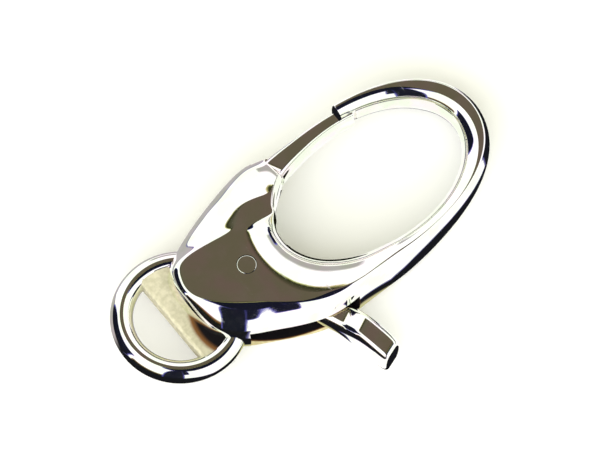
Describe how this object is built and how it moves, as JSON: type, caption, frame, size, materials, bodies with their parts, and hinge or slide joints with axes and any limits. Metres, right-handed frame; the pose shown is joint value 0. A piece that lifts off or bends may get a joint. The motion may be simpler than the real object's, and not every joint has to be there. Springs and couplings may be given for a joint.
{
  "type": "lobster clasp",
  "caption": "Polished silver lobster clasp with a sprung lever gate, a thumb piece and a tail loop for a jump ring, lying on its back.",
  "frame": {"origin": "middle of the clasp's bounding box in plan, on the back face that it lies on", "axes": "+X from the tail loop to the hook's end, +Y from the spine to the gate, +Z from the back face to the front face"},
  "size_m": [0.016, 0.0092, 0.0025],
  "materials": {
    "polished_silver": "mirror polished cast silver",
    "silver_rivet": "drawn silver pin, peened and polished flush"
  },
  "bodies": {
    "clasp": {"body": "polished_silver", "rivet": "silver_rivet"},
    "gate_lever": {"lever": "polished_silver"}
  },
  "joints": [
    {"name": "lever_pivot", "type": "hinge", "parent": "clasp", "child": "gate_lever", "pos_m": [-0.00261, 0.00122, 0.00125], "axis": [0, 0, -1], "range_deg": [0, 24], "stiffness_Nm_per_rad": 0.015, "springref_deg": -20.05}
  ]
}
